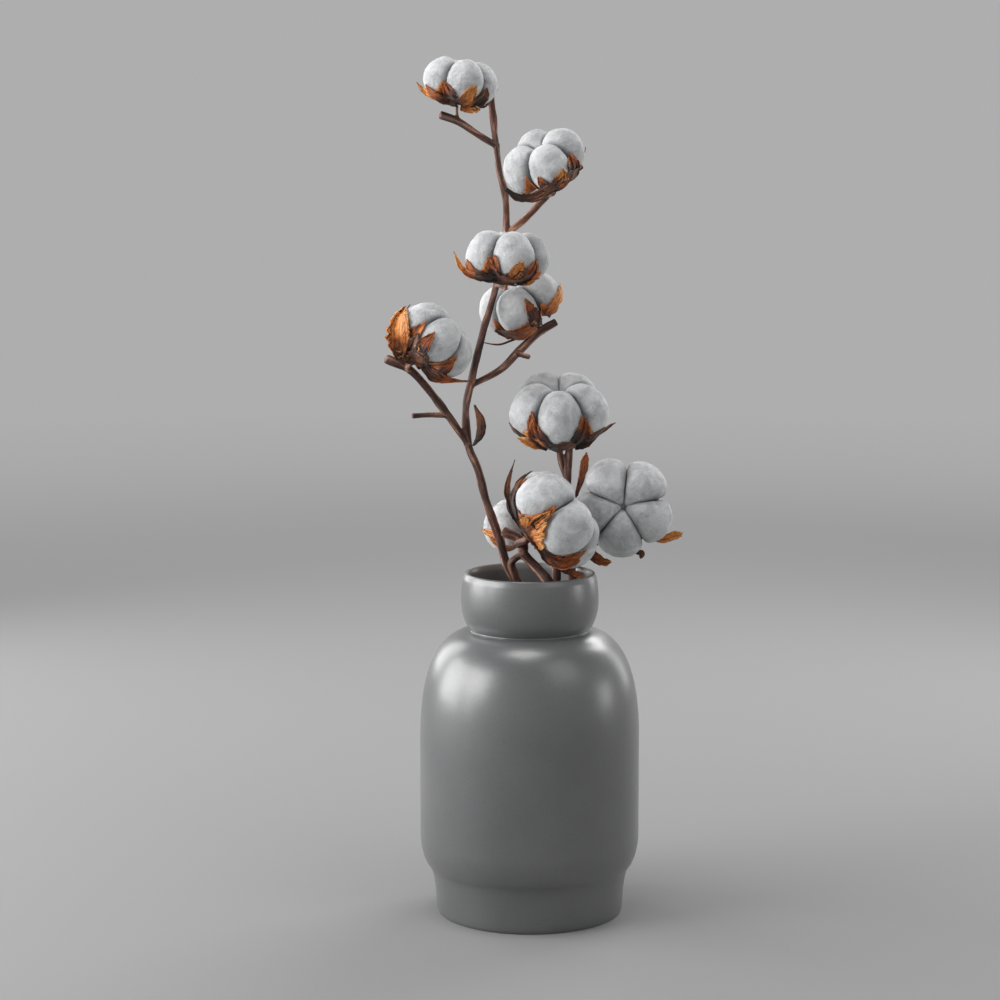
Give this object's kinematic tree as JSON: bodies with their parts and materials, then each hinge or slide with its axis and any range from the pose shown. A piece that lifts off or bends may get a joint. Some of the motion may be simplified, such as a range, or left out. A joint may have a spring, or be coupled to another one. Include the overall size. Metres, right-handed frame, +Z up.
{
  "type": "cotton stem bunch in a vase",
  "caption": "Dried cotton stems with open bolls and woody burs, standing in a round-shouldered grey ceramic vase with a narrow neck.",
  "frame": {"origin": "centre of the vase's flat underside", "axes": "+Z up, along the vase's axis; +X to the right and +Y away from a viewer who faces the bunch"},
  "size_m": [0.2134, 0.1775, 0.5935],
  "materials": {
    "glazed_ceramic": "satin grey glaze, slightly uneven",
    "bark": "dry reddish-brown bark, matte",
    "dry_bur": "dry woody valves and bracts, matte",
    "cotton": "soft white fibre, matte",
    "dry_leaf": "dry papery leaf, matte"
  },
  "bodies": {
    "root": {"vase": "glazed_ceramic", "stem_tall": "bark", "stem_front": "bark", "stem_middle": "bark", "stem_right": "bark", "dried_leaf": "dry_leaf", "boll_1_bur": "dry_bur", "boll_1_lock_1": "cotton", "boll_1_lock_2": "cotton", "boll_1_lock_3": "cotton", "boll_1_lock_4": "cotton", "boll_2_bur": "dry_bur", "boll_2_lock_1": "cotton", "boll_2_lock_2": "cotton", "boll_2_lock_3": "cotton", "boll_2_lock_4": "cotton", "boll_3_bur": "dry_bur", "boll_3_lock_1": "cotton", "boll_3_lock_2": "cotton", "boll_3_lock_3": "cotton", "boll_3_lock_4": "cotton", "boll_4_bur": "dry_bur", "boll_4_lock_1": "cotton", "boll_4_lock_2": "cotton", "boll_4_lock_3": "cotton", "boll_4_lock_4": "cotton", "boll_5_bur": "dry_bur", "boll_5_lock_1": "cotton", "boll_5_lock_2": "cotton", "boll_5_lock_3": "cotton", "boll_5_lock_4": "cotton", "boll_5_lock_5": "cotton", "boll_6_bur": "dry_bur", "boll_6_lock_1": "cotton", "boll_6_lock_2": "cotton", "boll_6_lock_3": "cotton", "boll_6_lock_4": "cotton", "boll_6_lock_5": "cotton", "boll_7_bur": "dry_bur", "boll_7_lock_1": "cotton", "boll_7_lock_2": "cotton", "boll_7_lock_3": "cotton", "boll_7_lock_4": "cotton", "boll_7_lock_5": "cotton", "boll_8_bur": "dry_bur", "boll_8_lock_1": "cotton", "boll_8_lock_2": "cotton", "boll_8_lock_3": "cotton", "boll_8_lock_4": "cotton", "boll_8_lock_5": "cotton", "boll_9_bur": "dry_bur", "boll_9_lock_1": "cotton", "boll_9_lock_2": "cotton", "boll_9_lock_3": "cotton", "boll_9_lock_4": "cotton", "boll_9_lock_5": "cotton"}
  },
  "joints": []
}
